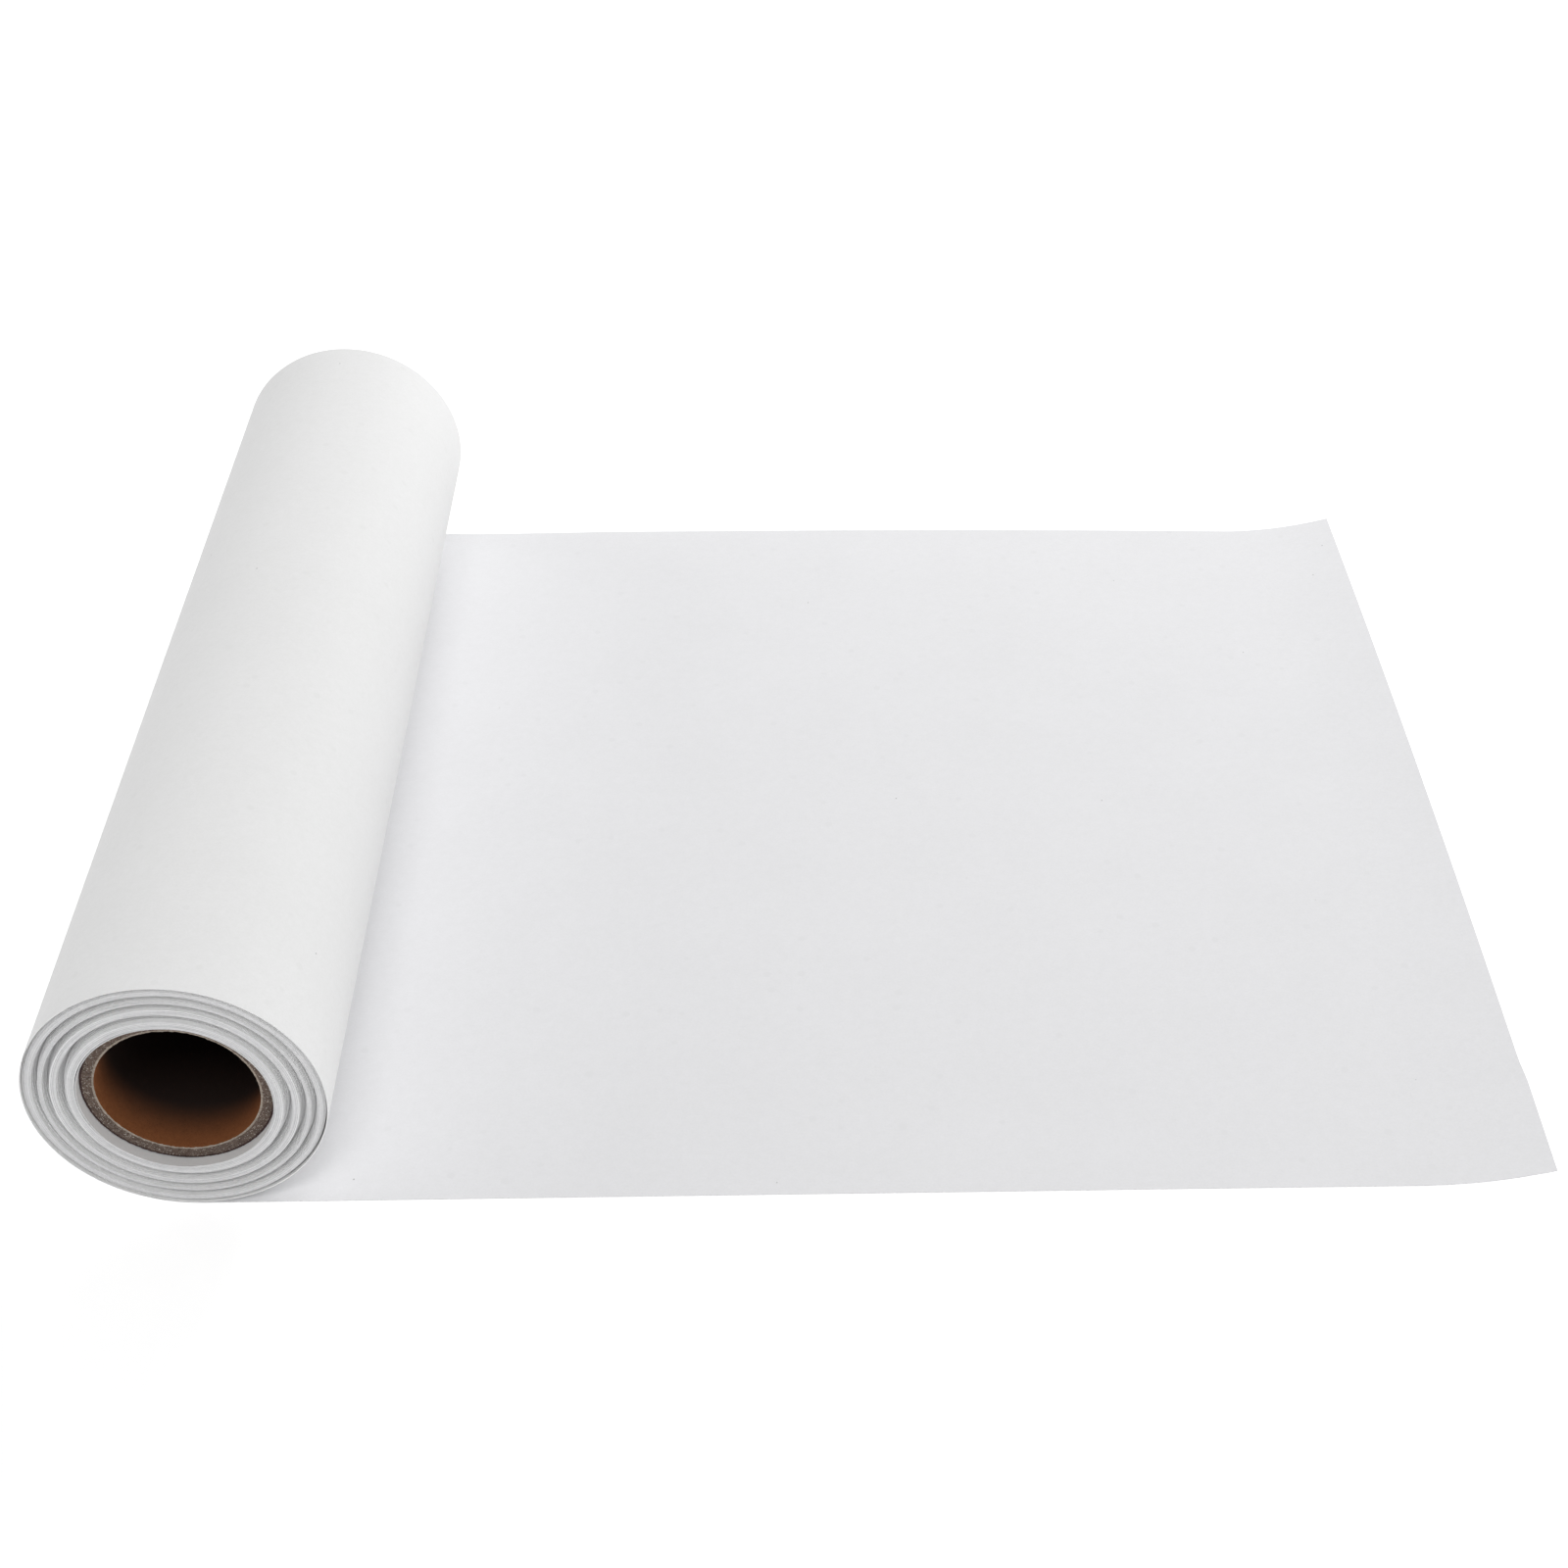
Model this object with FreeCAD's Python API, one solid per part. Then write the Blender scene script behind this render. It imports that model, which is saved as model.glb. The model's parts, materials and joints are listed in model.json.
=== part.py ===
import FreeCAD, Part
import math
import os

# A roll of backdrop paper on a board core, lying on a table with its outer end laid out flat.
#
# Millimetres. The origin is on the roll's axis, halfway along it. +X is the way the paper is
# laid out, +Y runs along the axis, and +Z is up. The paper leaves the roll straight under the
# axis, so the table is one roll radius below the origin.

# ---- Driving dimensions ------------------------------------------------------------------

ROLL_RADIUS = 35.0  # outside of the outermost turn
WEB_WIDTH = 300.0  # width of the paper, along the roll
PAPER = 0.2  # thickness of one layer
TURN_GAP = 0.05  # air between one end of a drawn turn and its other end
RUNNING_GAP = 0.15  # air between the outermost turn and the turns that revolve inside it

CORE_BORE = 38.0  # inside diameter of the core
LINER_PLY = 0.5  # thickness of the core's inner ply and of its outer ply
BOARD_PLY = 0.75  # thickness of one ply between them
BOARD_PLIES = 3
CORE_RECESS = 2.8  # how far each end of the core stops short of the paper's edge

TAPE = 0.1  # thickness of the tape that holds the paper's first edge to the core
TAPE_WIDTH = 12.0  # around the core
TAPE_MARGIN = 10.0  # how far the tape stops short of each end of the core

GROOVE_SHARES = (0.25, 0.54, 0.76)  # where the grooves divide the wound turns' build-up
BAND_CROWN = 1.1  # how far the middle of a band of edges stands out beyond its grooves

LAID_LENGTH = 294.0  # flat paper, from the line where it leaves the roll to its curled end
CURL_LENGTH = 33.0  # curled end, measured along the table
CURL_LIFT = 4.5  # height of the free edge above the table
DRIFT = 0.0125  # how far the laid paper runs to +Y, per millimetre along +X
CUT_SLANT = 2.4  # how much further +X the free edge reaches at its +Y corner

# ---- Sizes that follow from them ---------------------------------------------------------

TURN_PITCH = PAPER + TURN_GAP
NEAR_END = -WEB_WIDTH / 2
TABLE = -ROLL_RADIUS

CORE_LENGTH = WEB_WIDTH - 2 * CORE_RECESS
CORE_RADIUS = CORE_BORE / 2 + 2 * LINER_PLY + BOARD_PLIES * BOARD_PLY
FIRST_TURN_RADIUS = CORE_RADIUS + TAPE + TURN_PITCH + PAPER
WOUND_RADIUS = ROLL_RADIUS - TURN_PITCH - PAPER - RUNNING_GAP

CURL_RADIUS = (CURL_LENGTH**2 + CURL_LIFT**2) / (2 * CURL_LIFT)

AXIS = FreeCAD.Vector(0, 1, 0)
ALONG_WEB = FreeCAD.Vector(0, WEB_WIDTH, 0)


def tube(inner, outer, length, x=0.0, z=0.0):
    """A tube parallel to the roll's axis, centred on the middle of its length."""
    start = FreeCAD.Vector(x, -length / 2, z)
    hole = Part.makeCylinder(inner, length, start, AXIS)
    return Part.makeCylinder(outer, length, start, AXIS).cut(hole)


def line(start, end):
    return Part.LineSegment(start, end).toShape()


def core_plies():
    """The core's plies, each glued over the one before it."""
    names = ["core_inner_ply"]
    names += [f"core_board_ply_{number}" for number in range(1, BOARD_PLIES + 1)]
    names += ["core_outer_ply"]
    thicknesses = [LINER_PLY] + [BOARD_PLY] * BOARD_PLIES + [LINER_PLY]
    plies = {}
    inner = CORE_BORE / 2
    for name, thickness in zip(names, thicknesses):
        plies[name] = tube(inner, inner + thickness, CORE_LENGTH)
        inner += thickness
    return plies


def start_tape():
    """The strip on the outside of the core that holds the paper's first edge."""
    length = CORE_LENGTH - 2 * TAPE_MARGIN
    start = -math.pi / 2
    end = start + TAPE_WIDTH / CORE_RADIUS

    def corner(radius, angle):
        return FreeCAD.Vector(radius * math.cos(angle), -length / 2, radius * math.sin(angle))

    def arc(radius):
        middle = (start + end) / 2
        points = (corner(radius, start), corner(radius, middle), corner(radius, end))
        return Part.Arc(*points).toShape()

    inner = CORE_RADIUS
    outer = CORE_RADIUS + TAPE
    edges = [
        arc(inner),
        line(corner(inner, end), corner(outer, end)),
        arc(outer),
        line(corner(outer, start), corner(inner, start)),
    ]
    return Part.Face(Part.Wire(edges)).extrude(FreeCAD.Vector(0, length, 0))


def turn_side(end_radius):
    """Two half circles that grow by one pitch, from under the axis round to under it again."""
    start = FreeCAD.Vector(0, NEAR_END, TURN_PITCH - end_radius)
    right = FreeCAD.Vector(end_radius - TURN_PITCH / 2, NEAR_END, TURN_PITCH / 2)
    top = FreeCAD.Vector(0, NEAR_END, end_radius)
    left = FreeCAD.Vector(-end_radius, NEAR_END, 0)
    end = FreeCAD.Vector(0, NEAR_END, -end_radius)
    return [Part.Arc(start, right, top).toShape(), Part.Arc(top, left, end).toShape()]


def paper_turn(end_radius):
    """One turn of paper; end_radius is its outside where it ends, under the axis."""
    outside = turn_side(end_radius)
    inside = turn_side(end_radius - PAPER)
    last_edge = line(outside[-1].Vertexes[-1].Point, inside[-1].Vertexes[-1].Point)
    first_edge = line(inside[0].Vertexes[0].Point, outside[0].Vertexes[0].Point)
    edges = outside + [last_edge] + inside[::-1] + [first_edge]
    return Part.Face(Part.Wire(edges)).extrude(ALONG_WEB)


def wound_band(inner, outer):
    """Turns wound tight on each other, whose edges stand out as a rounded ring at both ends."""
    crown = min(BAND_CROWN, (outer - inner) / 2)  # at most a half circle
    shoulder = WEB_WIDTH / 2 - crown
    middle = (inner + outer) / 2
    corners = {
        "near_inner": FreeCAD.Vector(inner, -shoulder, 0),
        "far_inner": FreeCAD.Vector(inner, shoulder, 0),
        "far_outer": FreeCAD.Vector(outer, shoulder, 0),
        "near_outer": FreeCAD.Vector(outer, -shoulder, 0),
    }
    far_crest = FreeCAD.Vector(middle, WEB_WIDTH / 2, 0)
    near_crest = FreeCAD.Vector(middle, NEAR_END, 0)
    edges = [
        line(corners["near_inner"], corners["far_inner"]),
        Part.Arc(corners["far_inner"], far_crest, corners["far_outer"]).toShape(),
        line(corners["far_outer"], corners["near_outer"]),
        Part.Arc(corners["near_outer"], near_crest, corners["near_inner"]).toShape(),
    ]
    profile = Part.Face(Part.Wire(edges))
    return profile.revolve(FreeCAD.Vector(0, 0, 0), AXIS, 360)


def wound_bands():
    """The wound turns, divided where the grooves run round the roll's ends."""
    build_up = WOUND_RADIUS - FIRST_TURN_RADIUS
    shares = (0.0,) + GROOVE_SHARES + (1.0,)
    radii = [FIRST_TURN_RADIUS + share * build_up for share in shares]
    bands = {}
    for number, (inner, outer) in enumerate(zip(radii, radii[1:]), start=1):
        bands[f"wound_turns_{number}"] = wound_band(inner, outer)
    return bands


def laid_plan(x_start, x_end, slant, height):
    """A block over the laid paper's outline between two places along X, upward from the table."""

    def corner(x, side):
        return FreeCAD.Vector(x, side * WEB_WIDTH / 2 + DRIFT * x, TABLE)

    outline = [
        corner(x_start, -1),
        corner(x_end - slant / 2, -1),
        corner(x_end + slant / 2, 1),
        corner(x_start, 1),
    ]
    face = Part.Face(Part.makePolygon(outline + outline[:1]))
    return face.extrude(FreeCAD.Vector(0, 0, height))


def laid_stretch():
    """The flat paper between the roll and its curled end."""
    return laid_plan(0, LAID_LENGTH, 0, PAPER)


def free_end():
    """The last of the paper, which keeps some of the roll's curl and rises off the table."""
    side_room = DRIFT * (LAID_LENGTH + CURL_LENGTH + CUT_SLANT)
    curl = tube(
        CURL_RADIUS - PAPER,
        CURL_RADIUS,
        WEB_WIDTH + 4 * side_room,
        x=LAID_LENGTH,
        z=TABLE + CURL_RADIUS,
    )
    outline = laid_plan(LAID_LENGTH, LAID_LENGTH + CURL_LENGTH, CUT_SLANT, CURL_RADIUS)
    return curl.common(outline)


def build():
    nodes = core_plies()
    nodes["start_tape"] = start_tape()
    nodes["first_turn"] = paper_turn(FIRST_TURN_RADIUS)
    nodes.update(wound_bands())
    nodes["outer_turn"] = paper_turn(ROLL_RADIUS)
    nodes["laid_stretch"] = laid_stretch()
    nodes["free_end"] = free_end()
    return nodes


os.makedirs("parts", exist_ok=True)
for node_name, node_shape in build().items():
    node_shape.exportStep(f"parts/{node_name}.step")
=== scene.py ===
import json
import math

import bmesh
import bpy
from mathutils import Euler, Matrix, Vector, noise


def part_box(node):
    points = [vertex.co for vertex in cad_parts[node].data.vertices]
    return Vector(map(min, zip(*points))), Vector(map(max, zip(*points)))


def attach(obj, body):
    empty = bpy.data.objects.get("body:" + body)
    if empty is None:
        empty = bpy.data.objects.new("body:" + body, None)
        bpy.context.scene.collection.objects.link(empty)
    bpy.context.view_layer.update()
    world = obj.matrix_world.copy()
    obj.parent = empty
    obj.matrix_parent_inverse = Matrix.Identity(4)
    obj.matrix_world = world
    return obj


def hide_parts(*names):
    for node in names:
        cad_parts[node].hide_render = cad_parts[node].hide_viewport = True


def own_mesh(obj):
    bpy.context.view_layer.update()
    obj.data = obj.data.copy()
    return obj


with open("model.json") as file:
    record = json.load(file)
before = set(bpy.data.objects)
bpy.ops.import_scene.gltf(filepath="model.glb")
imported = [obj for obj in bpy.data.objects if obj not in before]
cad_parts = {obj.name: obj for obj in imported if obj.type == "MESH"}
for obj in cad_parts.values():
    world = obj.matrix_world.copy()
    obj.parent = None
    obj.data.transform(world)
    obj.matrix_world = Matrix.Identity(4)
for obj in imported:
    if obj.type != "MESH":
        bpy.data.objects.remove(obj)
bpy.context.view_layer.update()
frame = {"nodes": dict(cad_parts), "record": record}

# A roll of white backdrop paper on a board core, with its outer end laid out flat.
# Metres. The roll's axis is the Y axis, the paper is laid out along +X, and +Z is up.

MM = 0.001

# ---- Sizes from the frame ----------------------------------------------------------------

turn_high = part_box("outer_turn")[1]
laid_low, laid_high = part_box("laid_stretch")
curl_low, curl_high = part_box("free_end")
bands = [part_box(f"wound_turns_{number}")[1][2] for number in range(1, 5)]
mounts = {mount["name"]: mount for mount in frame["record"]["mounts"]}

roll_radius = turn_high[2]
half_web = turn_high[1]
paper = laid_high[2] - laid_low[2]
table = laid_low[2]
laid_length = laid_high[0]
curl_lift = curl_high[2] - curl_low[2] - paper
drift = (laid_high[1] - half_web) / laid_length
core_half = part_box("core_outer_ply")[1][1]
tape_radius = -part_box("start_tape")[0][2]
bore_radius = mounts["core_bore"]["dims"]["r_mm"] * MM

# ---- How the web is wound ----------------------------------------------------------------

TURN_STEPS = 144  # straight steps in one turn
FULL_TURN = 2 * math.pi
UNDER_AXIS = math.radians(-90)  # where the outermost turn starts and ends
FIRST_EDGE = math.radians(273)  # where the web starts on the core, from +X towards +Z
LOOSE_SHARE = 0.75  # how much of the first turn lies on the core before it climbs to the next
LAYER_SHARE = 0.985  # of the pitch; the rest is a hairline of shadow between two turns
SWELL = 0.08 * MM  # how much of the air under the outermost turn the wound turns fill
STRAY = 0.09 * MM  # how far one turn's edge strays from the next one's
STRAY_RATE = 0.37  # how fast that changes as the web is wound, in noise lengths per radian
RIDGE = 0.14 * MM  # how far a few turns stray together
RIDGE_WIDTH = 0.5 * MM
WANDER = 2  # radius, in noise lengths, of the circle on which the edge's noise is read
GROOVES = [  # (radius, half width, depth) of each groove round the near end
    (bands[0], 1.00 * MM, 3.2 * MM),
    (bands[1], 0.90 * MM, 3.2 * MM),
    (bands[2], 0.80 * MM, 2.8 * MM),
    (0.978 * roll_radius, 0.60 * MM, 0.8 * MM),
]
GROOVE_ROUNDING = 1.7  # 1 gives the grooves straight sides, and more widens their bottoms

first_turn_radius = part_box("first_turn")[1][2]
bands[-1] += SWELL
wound_turns = round((bands[-1] - first_turn_radius) / paper)
wound_start = FIRST_EDGE + FULL_TURN
wound_end = UNDER_AXIS + FULL_TURN * (wound_turns + 2)  # wound_start is about 2 turns after UNDER_AXIS
wound_pitch = (bands[-1] - first_turn_radius) / (wound_end - wound_start)  # in one radian
layer = LAYER_SHARE * wound_pitch * FULL_TURN


def bump(place, centre, half_width):
    """1 at the centre, falling smoothly to 0 at half_width from it."""
    away = abs(place - centre) / half_width
    return math.cos(away * math.pi / 2) ** 2 if away < 1 else 0.0


def smooth_step(share):
    share = min(max(share, 0.0), 1.0)
    return share * share * (3 - 2 * share)


def edge_shift(radius, angle):
    """How far the web has wandered to +Y where it was wound at this radius and angle."""
    depth = 0.0
    for centre, wide, deepest in GROOVES:
        away = min(abs(radius - centre) / wide, 1)
        depth += deepest * (1 - away**GROOVE_ROUNDING)
    across, up = WANDER * math.cos(angle), WANDER * math.sin(angle)
    stray = STRAY * noise.noise(Vector((across, up, STRAY_RATE * angle)))
    ridge = RIDGE * noise.noise(Vector((across, up, radius / RIDGE_WIDTH)))
    return depth + STRAY + RIDGE + stray + ridge


def on_roll(radius, angle, y):
    return (radius * math.cos(angle), y, radius * math.sin(angle))


# ---- Shader node groups ------------------------------------------------------------------

NUMBER = "NodeSocketFloat"
COLOUR = "NodeSocketColor"
MIDDLE = 0.5  # a grain's mean tone
GREY = (0.5, 0.5, 0.5)
SPOT_CORE = 0.4  # the share of a spot's radius that it covers fully, before it fades


def put(tree, kind, **settings):
    """A new node; settings name its inputs, or its own properties where it has no such input."""
    node = tree.nodes.new(kind)
    for name, value in settings.items():
        socket = node.inputs.get(name.replace("_", " "))
        if socket is not None and hasattr(socket, "default_value"):
            socket.default_value = value
        else:
            setattr(node, name, value)
    return node


def new_group(name, inputs, outputs):
    """An empty node group with numbers and colours for inputs, at these values, and its outputs."""
    group = bpy.data.node_groups.new(name, "ShaderNodeTree")
    for socket, value in inputs.items():
        kind = COLOUR if isinstance(value, tuple) else NUMBER
        made = group.interface.new_socket(socket, in_out="INPUT", socket_type=kind)
        made.default_value = (*value, 1) if kind == COLOUR else value
    for socket, kind in outputs.items():
        group.interface.new_socket(socket, in_out="OUTPUT", socket_type=kind)
    return group, group.nodes.new("NodeGroupInput"), group.nodes.new("NodeGroupOutput")


def noise_node(tree, where, size, detail, roughness=0.5):
    """Noise whose features are about size across, in metres."""
    made = put(tree, "ShaderNodeTexNoise", Scale=1 / size, Detail=detail, Roughness=roughness)
    tree.links.new(where, made.inputs["Vector"])
    return made.outputs["Fac"]


def fit_range(tree, value, low, high, between=(0, 1), curve="LINEAR"):
    """A number that goes from low to high as value goes between two others."""
    node = put(tree, "ShaderNodeMapRange", interpolation_type=curve, To_Min=low, To_Max=high)
    node.inputs["From Min"].default_value, node.inputs["From Max"].default_value = between
    tree.links.new(value, node.inputs["Value"])
    return node.outputs[0]


def sum_of(tree, parts):
    """The parts, (socket, weight) each, weighted and added."""
    total = None
    for socket, weight in parts:
        step = put(tree, "ShaderNodeMath", operation="MULTIPLY_ADD")
        tree.links.new(socket, step.inputs[0])
        step.inputs[1].default_value = weight
        if total is None:
            step.inputs[2].default_value = 0
        else:
            tree.links.new(total, step.inputs[2])
        total = step.outputs[0]
    return total


def blend(tree, mask, under, over):
    """The colour under where the mask is 0, and over, a plain colour or a socket, where it is 1."""
    node = put(tree, "ShaderNodeMix", data_type="RGBA")
    tree.links.new(mask, node.inputs["Factor"])
    tree.links.new(under, node.inputs["A"])
    if isinstance(over, tuple):
        node.inputs["B"].default_value = (*over, 1)
    else:
        tree.links.new(over, node.inputs["B"])
    return node.outputs["Result"]


def toned(group, tone, given):
    """The group's colour: from its input Dark to its input Pale, as steeply as Contrast says."""
    centred = put(group, "ShaderNodeMath", operation="SUBTRACT")
    group.links.new(tone, centred.inputs[0])
    centred.inputs[1].default_value = MIDDLE
    steep = put(group, "ShaderNodeMath", operation="MULTIPLY_ADD")
    group.links.new(centred.outputs[0], steep.inputs[0])
    group.links.new(given.outputs["Contrast"], steep.inputs[1])
    steep.inputs[2].default_value = MIDDLE
    return blend(group, steep.outputs[0], given.outputs["Dark"], given.outputs["Pale"])


def spots(tree, where, apart, radius, share):
    """A mask of small round spots: apart is their spacing, and share is how many places have one."""
    cells = put(tree, "ShaderNodeTexVoronoi", Scale=1 / apart)
    tree.links.new(where, cells.inputs["Vector"])
    rim, core = radius / apart, SPOT_CORE * radius / apart
    near = fit_range(tree, cells.outputs["Distance"], low=0, high=1, between=(rim, core))
    pick = put(tree, "ShaderNodeSeparateColor")
    tree.links.new(cells.outputs["Color"], pick.inputs[0])
    chosen = put(tree, "ShaderNodeMath", operation="LESS_THAN")
    tree.links.new(pick.outputs[0], chosen.inputs[0])
    chosen.inputs[1].default_value = share
    mask = put(tree, "ShaderNodeMath", operation="MULTIPLY")
    tree.links.new(near, mask.inputs[0])
    tree.links.new(chosen.outputs[0], mask.inputs[1])
    return mask.outputs[0]


def make_paper_grain():
    """Uncoated paper: faint clouds and blots in the pulp, a fine tooth, and dust."""
    inputs = {"Dark": GREY, "Pale": GREY, "Contrast": 1.0}
    outputs = {"Colour": COLOUR, "Tone": NUMBER, "Dust": NUMBER, "Tooth": NUMBER}
    group, given, out = new_group("paper_grain", inputs, outputs)
    where = group.nodes.new("ShaderNodeTexCoord").outputs["Object"]
    clouds = noise_node(group, where, size=25 * MM, detail=2)
    formation = noise_node(group, where, size=2.0 * MM, detail=3, roughness=0.6)
    grain = noise_node(group, where, size=0.6 * MM, detail=2)
    blots = spots(group, where, apart=8 * MM, radius=1.2 * MM, share=0.5)
    tone = sum_of(group, [(clouds, 0.2), (formation, 0.35), (grain, 0.45), (blots, -0.35)])
    dust = spots(group, where, apart=6 * MM, radius=0.30 * MM, share=0.05)
    group.links.new(toned(group, tone, given), out.inputs["Colour"])
    group.links.new(tone, out.inputs["Tone"])
    group.links.new(dust, out.inputs["Dust"])
    group.links.new(sum_of(group, [(grain, 0.6), (formation, 0.4)]), out.inputs["Tooth"])
    return group


def make_board_grain():
    """Recycled board: mottled pulp, flecks of other paper in it, and a rough tooth."""
    inputs = {"Dark": GREY, "Pale": GREY, "Fleck": GREY, "Contrast": 1.0}
    outputs = {"Colour": COLOUR, "Tone": NUMBER, "Tooth": NUMBER}
    group, given, out = new_group("board_grain", inputs, outputs)
    where = group.nodes.new("ShaderNodeTexCoord").outputs["Object"]
    mottle = noise_node(group, where, size=1.6 * MM, detail=4, roughness=0.7)
    pulp = noise_node(group, where, size=0.45 * MM, detail=2, roughness=0.6)
    tone = sum_of(group, [(mottle, 0.6), (pulp, 0.4)])
    shreds = noise_node(group, where, size=0.30 * MM, detail=2, roughness=0.6)
    fleck = fit_range(group, shreds, low=0, high=1, between=(0.60, 0.68))
    tooth = noise_node(group, where, size=0.35 * MM, detail=3, roughness=0.7)
    colour = blend(group, fleck, toned(group, tone, given), given.outputs["Fleck"])
    group.links.new(colour, out.inputs["Colour"])
    group.links.new(tone, out.inputs["Tone"])
    group.links.new(tooth, out.inputs["Tooth"])
    return group


paper_grain = make_paper_grain()
board_grain = make_board_grain()

# ---- Materials ---------------------------------------------------------------------------

# Colours are linear. A contrast is how steeply a grain's tone goes from dark to pale.
OUTSIDE_WHITE = (0.875, 0.875, 0.875)
OUTSIDE_SHADE = (0.835, 0.835, 0.832)
INSIDE_WHITE = (0.878, 0.878, 0.894)
INSIDE_SHADE = (0.838, 0.838, 0.851)
PAPER_DUST = (0.45, 0.45, 0.45)
PAPER_CONTRAST = 1 / 0.3
EDGE_WHITE = (0.90, 0.90, 0.905)
# The edges' dark colour is mostly painted shade: the fine rings that reach it stand in for the shadow
# between the turns.
EDGE_SHADE = (0.52, 0.52, 0.53)
EDGE_TONES = (0.3, 0.7)  # the tones at which an edge has its shade and its white
RING_SIZE = 0.35 * MM  # the fine rings painted darker on the edges, as shade between the turns
TAPE_BROWN = (0.50, 0.37, 0.21)
TAPE_SHADE = (0.43, 0.31, 0.17)
BOARD_CONTRAST = 2.5
BOARD_TONES = {"Dark": (0.050, 0.034, 0.028), "Pale": (0.21, 0.155, 0.125), "Fleck": (0.55, 0.50, 0.45)}
TORN_TONES = {"Dark": (0.20, 0.16, 0.13), "Pale": (0.50, 0.43, 0.36), "Fleck": (0.62, 0.58, 0.52)}
# Painted shadow: near-black tones for the core's outer ply, drawn where the gap between the core and the
# paper is in shadow.
GAP_SHADOW_TONES = {"Dark": (0.035, 0.020, 0.020), "Pale": (0.08, 0.045, 0.042), "Fleck": (0.2, 0.16, 0.14)}
KRAFT_TONES = {"Dark": (0.27, 0.100, 0.038), "Pale": (0.36, 0.135, 0.052), "Fleck": (0.20, 0.072, 0.027)}
# Painted shade: the near black that the kraft lining is drawn in deep inside the core.
KRAFT_PAINTED_SHADE = (0.030, 0.020, 0.017)
LIT_DEPTH = 15 * MM  # how far into the core its mouths light it; deeper in, the lining is painted in shade


def new_material(name, specular):
    """The material itself, its node tree and its shader."""
    material = bpy.data.materials.new(name)
    material.use_nodes = True
    shader = material.node_tree.nodes["Principled BSDF"]
    shader.inputs["Specular IOR Level"].default_value = specular
    return material, material.node_tree, shader


def grain_in(tree, group, **values):
    """The group placed in a material, with the material's own values on its inputs."""
    node = tree.nodes.new("ShaderNodeGroup")
    node.node_tree = group
    for name, value in values.items():
        node.inputs[name].default_value = (*value, 1) if isinstance(value, tuple) else value
    return node


def rough_surface(tree, shader, tooth, distance, strength):
    bumps = put(tree, "ShaderNodeBump", Distance=distance, Strength=strength)
    tree.links.new(tooth, bumps.inputs["Height"])
    tree.links.new(bumps.outputs["Normal"], shader.inputs["Normal"])


def make_paper_face(name, shade, white):
    """One of the paper's two faces."""
    material, tree, shader = new_material(name, specular=0.3)
    grain = grain_in(tree, paper_grain, Dark=shade, Pale=white, Contrast=PAPER_CONTRAST)
    face = blend(tree, grain.outputs["Dust"], grain.outputs["Colour"], PAPER_DUST)
    tree.links.new(face, shader.inputs["Base Color"])
    roughness = fit_range(tree, grain.outputs["Tone"], low=0.92, high=0.78)
    tree.links.new(roughness, shader.inputs["Roughness"])
    rough_surface(tree, shader, grain.outputs["Tooth"], distance=0.03 * MM, strength=0.35)
    return material


def make_paper_edges():
    """The cut edges of the wound paper: fine rings round the roll's axis painted darker as shade between
    the turns, over the paper's own tooth.
    """
    material, tree, shader = new_material("paper_edges", specular=0.2)
    grain = grain_in(tree, paper_grain)
    where = tree.nodes.new("ShaderNodeTexCoord").outputs["Object"]
    flat = put(tree, "ShaderNodeVectorMath", operation="MULTIPLY")
    flat.inputs[1].default_value = (1, 0, 1)
    tree.links.new(where, flat.inputs[0])
    radius = put(tree, "ShaderNodeVectorMath", operation="LENGTH")
    tree.links.new(flat.outputs["Vector"], radius.inputs[0])
    # Painted shade: rings across the radius, darker where shadow would part the turns.
    rings = put(tree, "ShaderNodeTexNoise", noise_dimensions="1D", Detail=2)
    rings.inputs["Scale"].default_value = 1 / RING_SIZE
    tree.links.new(radius.outputs["Value"], rings.inputs["W"])
    tone = sum_of(tree, [(rings.outputs["Fac"], 0.75), (grain.outputs["Tooth"], 0.25)])
    ramp = put(tree, "ShaderNodeValToRGB")
    for element, tone_there, colour in zip(ramp.color_ramp.elements, EDGE_TONES, (EDGE_SHADE, EDGE_WHITE)):
        element.position = tone_there
        element.color = (*colour, 1)
    tree.links.new(tone, ramp.inputs["Fac"])
    tree.links.new(ramp.outputs["Color"], shader.inputs["Base Color"])
    roughness = fit_range(tree, grain.outputs["Tone"], low=1.0, high=0.85)
    tree.links.new(roughness, shader.inputs["Roughness"])
    rough_surface(tree, shader, tone, distance=0.06 * MM, strength=0.6)
    return material


def make_board(name, tones, specular=0.2):
    """Board of the core, in the tones of one of its plies."""
    material, tree, shader = new_material(name, specular)
    grain = grain_in(tree, board_grain, Contrast=BOARD_CONTRAST, **tones)
    tree.links.new(grain.outputs["Colour"], shader.inputs["Base Color"])
    roughness = fit_range(tree, grain.outputs["Tone"], low=1.0, high=0.8)
    tree.links.new(roughness, shader.inputs["Roughness"])
    rough_surface(tree, shader, grain.outputs["Tooth"], distance=0.1 * MM, strength=0.8)
    return material


def make_lining():
    """Kraft paper in the bore, with painted shade that darkens it away from the two mouths, which alone
    light it.
    """
    material = make_board("kraft_lining", KRAFT_TONES, specular=0.1)
    tree = material.node_tree
    base = tree.nodes["Principled BSDF"].inputs["Base Color"]
    kraft_colour = base.links[0].from_socket
    place = put(tree, "ShaderNodeSeparateXYZ")
    tree.links.new(tree.nodes.new("ShaderNodeTexCoord").outputs["Object"], place.inputs[0])
    from_middle = put(tree, "ShaderNodeMath", operation="ABSOLUTE")
    tree.links.new(place.outputs["Y"], from_middle.inputs[0])
    lit = (core_half - LIT_DEPTH, core_half)
    # painted shade, from none at each mouth to full at LIT_DEPTH inside
    painted_shade = fit_range(tree, from_middle.outputs[0], low=1, high=0, between=lit, curve="SMOOTHSTEP")
    tree.links.new(blend(tree, painted_shade, kraft_colour, KRAFT_PAINTED_SHADE), base)
    return material


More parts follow.
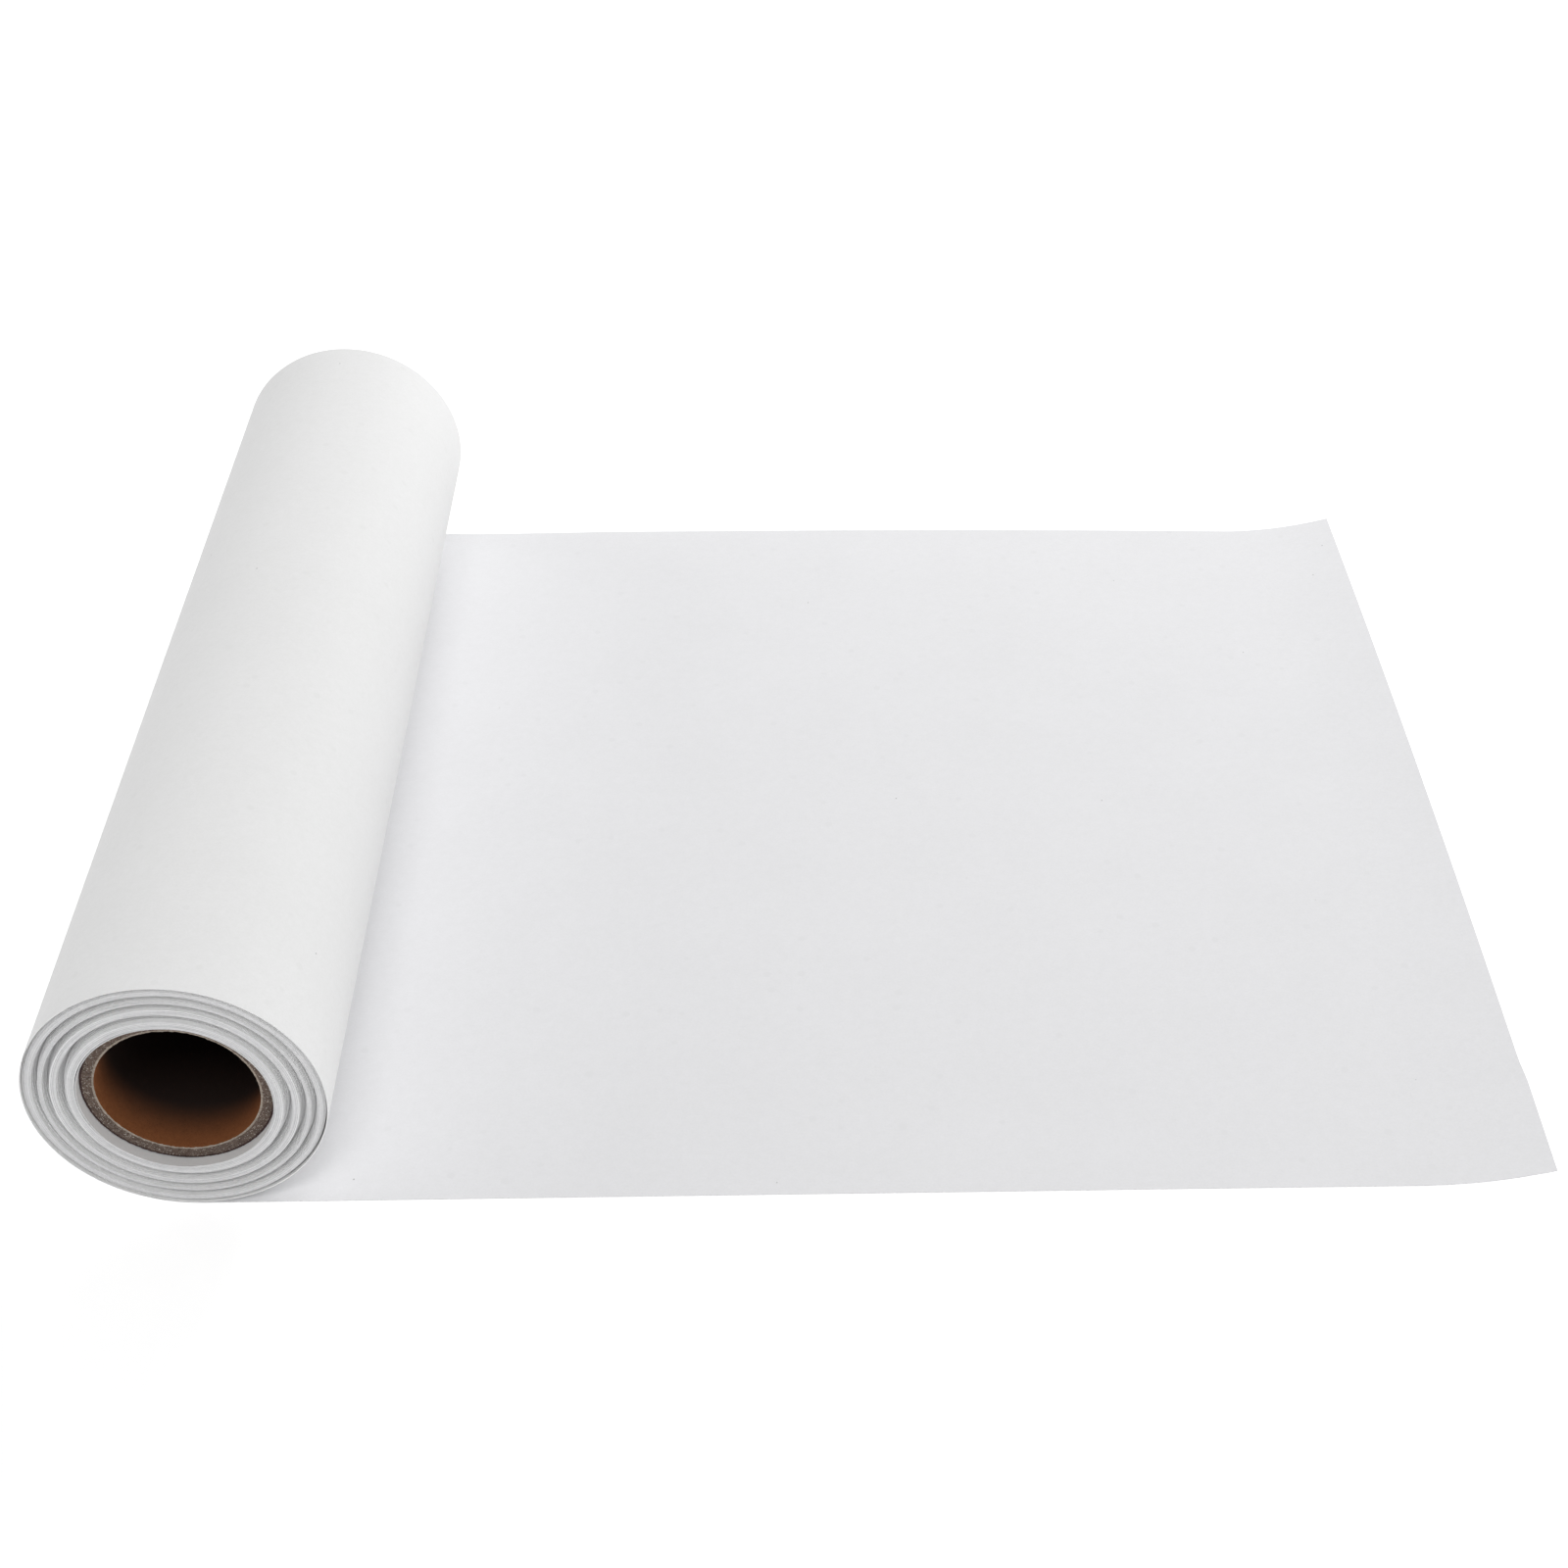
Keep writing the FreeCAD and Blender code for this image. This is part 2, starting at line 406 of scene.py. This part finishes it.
def make_tape():
    """Brown gummed paper tape."""
    material, tree, shader = new_material("gummed_tape", specular=0.5)
    grain = grain_in(tree, paper_grain, Dark=TAPE_SHADE, Pale=TAPE_BROWN, Contrast=BOARD_CONTRAST)
    tree.links.new(grain.outputs["Colour"], shader.inputs["Base Color"])
    roughness = fit_range(tree, grain.outputs["Tone"], low=0.7, high=0.5)
    tree.links.new(roughness, shader.inputs["Roughness"])
    rough_surface(tree, shader, grain.outputs["Tooth"], distance=0.02 * MM, strength=0.3)
    return material


white_paper = make_paper_face("white_paper", OUTSIDE_SHADE, OUTSIDE_WHITE)
paper_inside = make_paper_face("paper_inside", INSIDE_SHADE, INSIDE_WHITE)
paper_edges = make_paper_edges()
board = make_board("core_board", BOARD_TONES)
torn_board = make_board("torn_board", TORN_TONES)
gap_shadow_board = make_board("gap_shadow_board", GAP_SHADOW_TONES)
kraft = make_lining()
gummed_tape = make_tape()

# ---- Meshes ------------------------------------------------------------------------------

SHARP_EDGE = math.radians(35)
END_FACING = 0.5  # how far a face must look along the roll's axis to count as an end face


def piece(name, vertices, faces, materials, body, node):
    """A mesh object that rides on a body and stands for one of the frame's nodes.

    Faces that look along the roll's axis get the second material, and all others the first."""
    mesh = bpy.data.meshes.new(name)
    mesh.from_pydata(vertices, [], faces)
    solid = bmesh.new()
    solid.from_mesh(mesh)
    bmesh.ops.recalc_face_normals(solid, faces=solid.faces)
    solid.to_mesh(mesh)
    solid.free()
    mesh.shade_smooth()
    mesh.set_sharp_from_angle(angle=SHARP_EDGE)
    for material in materials:
        mesh.materials.append(material)
    for face in mesh.polygons:
        face.material_index = 1 if abs(face.normal.y) > END_FACING else 0
    made = bpy.data.objects.new(name, mesh)
    bpy.context.scene.collection.objects.link(made)
    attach(made, body)
    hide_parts(node)
    return made


def closed_sheet(front, back):
    """Vertices and faces of a thin solid between two grids of points with the same layout."""
    rows, columns = len(front), len(front[0])
    vertices = [point for grid in (front, back) for row in grid for point in row]
    behind = rows * columns

    def at(row, column):
        return row * columns + column

    faces = []
    for row in range(rows - 1):
        for column in range(columns - 1):
            corners = (
                at(row, column),
                at(row, column + 1),
                at(row + 1, column + 1),
                at(row + 1, column),
            )
            faces.append(corners)
            faces.append(tuple(behind + corner for corner in reversed(corners)))
    rim = [at(0, column) for column in range(columns)]
    rim += [at(row, columns - 1) for row in range(1, rows)]
    rim += [at(rows - 1, column) for column in range(columns - 2, -1, -1)]
    rim += [at(row, 0) for row in range(rows - 2, 0, -1)]
    for start, end in zip(rim, rim[1:] + rim[:1]):
        faces.append((end, start, behind + start, behind + end))
    return vertices, faces


WOUND_SIDES = (white_paper, paper_edges)
LAID_SIDES = (paper_inside, paper_edges)  # laid out, the web shows the face that was inside

# ---- The wound paper ---------------------------------------------------------------------


def wound_layer(angles, radius_at):
    """Outer and inner faces of the web along a run of angles, from its near edge to its far one."""
    front, back = [], []
    for angle in angles:
        inner = radius_at(angle)
        shift = edge_shift(inner, angle)
        for face, radius in ((front, inner + layer), (back, inner)):
            near = on_roll(radius, angle, shift - half_web)
            far = on_roll(radius, angle, shift + half_web)
            face.append((near, far))
    return closed_sheet(front, back)


def first_turn_at(angle):
    """Inside radius of the first turn, which lies on the core and then climbs a layer."""
    share = (angle - FIRST_EDGE) / FULL_TURN
    climb = smooth_step((share - LOOSE_SHARE) / (1 - LOOSE_SHARE))
    return tape_radius + (first_turn_radius - layer - tape_radius) * climb


def wound_at(angle):
    """Inside radius of the turns wound over the first one."""
    return first_turn_radius - layer + wound_pitch * (angle - wound_start)


def declare_wound(angles, radius_at):
    """The radius halfway through the layer, which is worked out and not used."""
    middle = radius_at((angles[0] + angles[-1]) / 2) + layer / 2


def make_wound_paper():
    step = FULL_TURN / TURN_STEPS
    angles = [FIRST_EDGE + step * count for count in range(TURN_STEPS + 1)]
    vertices, faces = wound_layer(angles, first_turn_at)
    made = piece("first_paper_turn", vertices, faces, WOUND_SIDES, "roll", "first_turn")
    declare_wound(angles, first_turn_at)

    start = 0
    for number, radius in enumerate(bands, start=1):
        end_angle = wound_start + (radius - first_turn_radius) / wound_pitch
        end = round((end_angle - wound_start) / step)
        angles = [wound_start + step * count for count in range(start, end + 1)]
        vertices, faces = wound_layer(angles, wound_at)
        name, node = f"wound_paper_{number}", f"wound_turns_{number}"
        made = piece(name, vertices, faces, WOUND_SIDES, "roll", node)
        declare_wound(angles, wound_at)
        start = end


# ---- The outer turn and the laid paper ---------------------------------------------------

OUTER_STEP = math.radians(1.5)
OUTER_COLUMNS = 24
INNER_LAP = math.radians(340)  # how much of one more lap lies loose under the outer turn
CLEARANCE = 0.03 * MM  # from the inside of that lap to the roll that turns in it
LAP_SHIFT = 1.1 * MM  # how far that lap lies to +Y of the outer turn
LAP_SHIFT_END = math.radians(50)  # before the outer turn's start, where the shift runs out


def make_outer_turn():
    """The outermost turn and the loose lap it grows from.

    Each lap is two half circles, which bring the web one pitch down to the table."""
    pitch = 2 * (roll_radius - turn_high[0])
    count = round((INNER_LAP + FULL_TURN) / OUTER_STEP)
    front, back = [], []
    for step in range(count + 1):
        angle = UNDER_AXIS + FULL_TURN - OUTER_STEP * (count - step)
        under = pitch if angle < UNDER_AXIS else 0.0
        rise = pitch / 2 if math.cos(angle) > 0 and step < count else 0.0
        for face, depth in ((front, 0.0), (back, paper)):
            across, up = math.cos(angle), math.sin(angle)
            radius = roll_radius - rise - under - depth
            place = Vector((radius * across, 0, radius * up + rise))
            if place.length < bands[-1] + CLEARANCE:
                place *= (bands[-1] + CLEARANCE) / place.length
            shift = LAP_SHIFT * smooth_step((UNDER_AXIS - angle) / LAP_SHIFT_END)
            columns = [half_web * (2 * n / OUTER_COLUMNS - 1) for n in range(OUTER_COLUMNS + 1)]
            face.append([(place.x, y + shift, place.z) for y in columns])
    vertices, faces = closed_sheet(front, back)
    sides = (white_paper, white_paper)
    made = piece("outer_paper_turn", vertices, faces, sides, "unwinding_turn", "outer_turn")


LAID_ROWS = 98
LAID_COLUMNS = 100
UNDULATION = 0.07 * MM  # low enough for the roll to travel over
WAVE_LENGTH = 110 * MM
WAVE_WIDTH = 140 * MM
WAVE_FADE = 60 * MM  # over how much of its length the waves die out at either end
WAIST_PLACE = 45 * MM  # from the roll's axis
WAIST_LENGTH = 45 * MM  # to either side of that place
WAIST = 0.6 * MM
TAPER_START = 120 * MM  # from the roll's axis
TAPER = 2.9 * MM  # where the flat stretch ends


def sideways(x, across):
    """How far the laid web runs to +Y; its far edge is cut a little inwards in two places."""
    taper = min(max((x - TAPER_START) / (laid_length - TAPER_START), 0), 1)
    inwards = TAPER * taper**2 + WAIST * bump(x, WAIST_PLACE, WAIST_LENGTH)
    return drift * x - inwards * across**2


def laid_lift(x, y):
    """How far the laid paper stands off the table."""
    waves = 0.5 + 0.5 * noise.noise(Vector((x / WAVE_LENGTH, y / WAVE_WIDTH, 0)))
    ends = smooth_step(x / WAVE_FADE) * smooth_step((laid_length - x) / WAVE_FADE)
    return UNDULATION * waves * ends


def laid_grid(rows, columns, point_at):
    """Top and bottom faces of a stretch of the laid paper."""
    top, bottom = [], []
    for row in range(rows + 1):
        points = [point_at(row / rows, column / columns) for column in range(columns + 1)]
        bottom.append(points)
        top.append([(x, y, z + paper) for x, y, z in points])
    return closed_sheet(top, bottom)


def make_laid_paper():
    """The flat stretch, which the roll takes up as it travels along it."""

    def point_at(along, across):
        x = laid_length * along
        y = half_web * (2 * across - 1)
        return (x, y + sideways(x, across), table + laid_lift(x, y))

    vertices, faces = laid_grid(LAID_ROWS, LAID_COLUMNS, point_at)
    made = piece("laid_paper", vertices, faces, LAID_SIDES, "laid_web", "laid_stretch")
    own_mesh(made)


CURL_ROWS = 24
NEAR_LIFT = 0.95  # the lift at the near corner, as a share of the lift at the far one
NEAR_REACH = 31.3 * MM  # how far the free edge reaches past the flat stretch at its near corner
CUT_SLANT = 3.2 * MM  # how much further it reaches at its far one
EDGE_BOW = 1.2 * MM
NOTCH_PLACE = -116 * MM  # where the free edge steps out towards its near corner
NOTCH_LENGTH = 9 * MM
NOTCH_STEP = 0.5 * MM


def free_edge_at(y):
    """How far the free edge reaches past the flat stretch."""
    slant = CUT_SLANT * (y / half_web + 1) / 2
    bow = EDGE_BOW * (1 - (y / half_web) ** 2)
    step = NOTCH_STEP * smooth_step((NOTCH_PLACE - y) / NOTCH_LENGTH + 0.5)
    return NEAR_REACH + slant + bow + step


def make_free_end():
    """The end of the web, which keeps some of the roll's curl."""

    def point_at(along, across):
        y = half_web * (2 * across - 1)
        x = laid_length + free_edge_at(y) * along
        lift = curl_lift * (NEAR_LIFT + (1 - NEAR_LIFT) * across)
        return (x, y + sideways(x, across), table + lift * along**2)

    vertices, faces = laid_grid(CURL_ROWS, LAID_COLUMNS, point_at)
    made = piece("free_paper_end", vertices, faces, LAID_SIDES, "laid_web", "free_end")


# ---- The core ----------------------------------------------------------------------------

PLY_STEPS = 288
PLY_RINGS = (0, 0.35, 0.7, 1)  # where an end face has vertices, from its inside to its outside
TEAR_SIZE = 0.6 * MM
PLIES = [  # from the bore outwards: node, materials of its walls and ends, raggedness
    ("core_inner_ply", (kraft, torn_board), 0.40 * MM),
    ("core_board_ply_1", (board, board), 0.20 * MM),
    ("core_board_ply_2", (board, board), 0.12 * MM),
    ("core_board_ply_3", (board, board), 0.20 * MM),
    # the outer ply's near black is painted shadow of the gap between the core and the paper
    ("core_outer_ply", (gap_shadow_board, gap_shadow_board), 0.30 * MM),
]


def make_ply(node, inner, outer, materials, ragged):
    """One ply of the core; ragged is how unevenly the saw left its ends."""
    radii = [inner + share * (outer - inner) for share in PLY_RINGS]
    vertices, faces = [], []
    for count in range(PLY_STEPS):
        angle = FULL_TURN * count / PLY_STEPS
        for side in (-1, 1):
            other_noise = inner / MM + 10 * side  # so that no two ends are torn alike
            for radius in radii[::-side]:
                where = Vector(on_roll(radius / TEAR_SIZE, angle, other_noise))
                torn = ragged * (0.5 + 0.5 * noise.noise(where))
                vertices.append(on_roll(radius, angle, side * (core_half - torn)))
    loop = 2 * len(radii)
    for count in range(PLY_STEPS):
        here, there = count * loop, (count + 1) % PLY_STEPS * loop
        for place in range(loop):
            after = (place + 1) % loop
            faces.append((here + place, here + after, there + after, there + place))
    piece(node.replace("core_", "board_"), vertices, faces, materials, "roll", node)


def make_core():
    """The plies, and the start tape, which needs only its material."""
    inner = bore_radius
    for node, materials, ragged in PLIES:
        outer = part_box(node)[1][2]
        make_ply(node, inner, outer, materials, ragged)
        inner = outer
    for slot in frame["nodes"]["start_tape"].material_slots:
        slot.material = gummed_tape


# ---- Stage, light and camera -------------------------------------------------------------

FLOOR_HALF = 6.0
FLOOR_GAP = 0.02 * MM  # keeps the floor clear of the paper's underside
FLOOR_WHITE = 0.9
FLOOR_GLOW = 0.46
SKY = 0.34
WHITE = (1, 1, 1, 1)
AIM = Vector((0.1, 0, 0))  # the point that all lights face


def make_floor():
    z = table - FLOOR_GAP
    corners = [
        (-FLOOR_HALF, -FLOOR_HALF, z),
        (FLOOR_HALF, -FLOOR_HALF, z),
        (FLOOR_HALF, FLOOR_HALF, z),
        (-FLOOR_HALF, FLOOR_HALF, z),
    ]
    mesh = bpy.data.meshes.new("floor")
    mesh.from_pydata(corners, [], [(0, 1, 2, 3)])
    material, tree, shader = new_material("floor_white", specular=0)
    shader.inputs["Base Color"].default_value = (FLOOR_WHITE, FLOOR_WHITE, FLOOR_WHITE, 1)
    shader.inputs["Roughness"].default_value = 1.0
    shader.inputs["Emission Color"].default_value = WHITE
    shader.inputs["Emission Strength"].default_value = FLOOR_GLOW
    mesh.materials.append(material)
    floor = bpy.data.objects.new("floor", mesh)
    bpy.context.scene.collection.objects.link(floor)


def soft_light(name, place, size, power):
    """A square softbox."""
    lamp = bpy.data.lights.new(name, "AREA")
    lamp.shape = "SQUARE"
    lamp.size = size
    lamp.energy = power
    made = bpy.data.objects.new(name, lamp)
    made.location = place
    toward = AIM - Vector(place)
    made.rotation_euler = toward.to_track_quat("-Z", "Y").to_euler()
    bpy.context.scene.collection.objects.link(made)


def make_light():
    soft_light("front_light", place=(0.1, -0.95, 1.3), size=0.5, power=5.5)
    soft_light("back_light", place=(0.6, 1.7, 0.9), size=0.9, power=30)
    soft_light("left_light", place=(-1.5, 0.2, 0.6), size=0.9, power=4.5)
    soft_light("right_light", place=(1.6, 0.2, 0.7), size=0.9, power=1.5)
    world = bpy.data.worlds.new("studio")
    world.use_nodes = True
    background = world.node_tree.nodes["Background"]
    background.inputs["Color"].default_value = WHITE
    background.inputs["Strength"].default_value = SKY
    bpy.context.scene.world = world
    bpy.context.scene.view_settings.view_transform = "Standard"


CAMERA_PLACE = Vector((0.13497, -0.51760, 0.38097))
CAMERA_DOWN = 0.6665  # radians below the horizon
CAMERA_TURN = -0.012
CAMERA_ROLL = 0.0047
CAMERA_LENS = 52.37
SENSOR = 36.0


def make_camera():
    camera = bpy.data.cameras.new("camera")
    camera.sensor_width = SENSOR
    camera.lens = CAMERA_LENS
    made = bpy.data.objects.new("camera", camera)
    facing = Euler((math.pi / 2 - CAMERA_DOWN, 0, CAMERA_TURN)).to_matrix().to_4x4()
    level = Matrix.Rotation(CAMERA_ROLL, 4, "Z")
    made.matrix_world = Matrix.Translation(CAMERA_PLACE) @ facing @ level
    bpy.context.scene.collection.objects.link(made)
    bpy.context.scene.camera = made


make_core()
make_wound_paper()
make_outer_turn()
make_laid_paper()
make_free_end()
make_floor()
make_light()
make_camera()
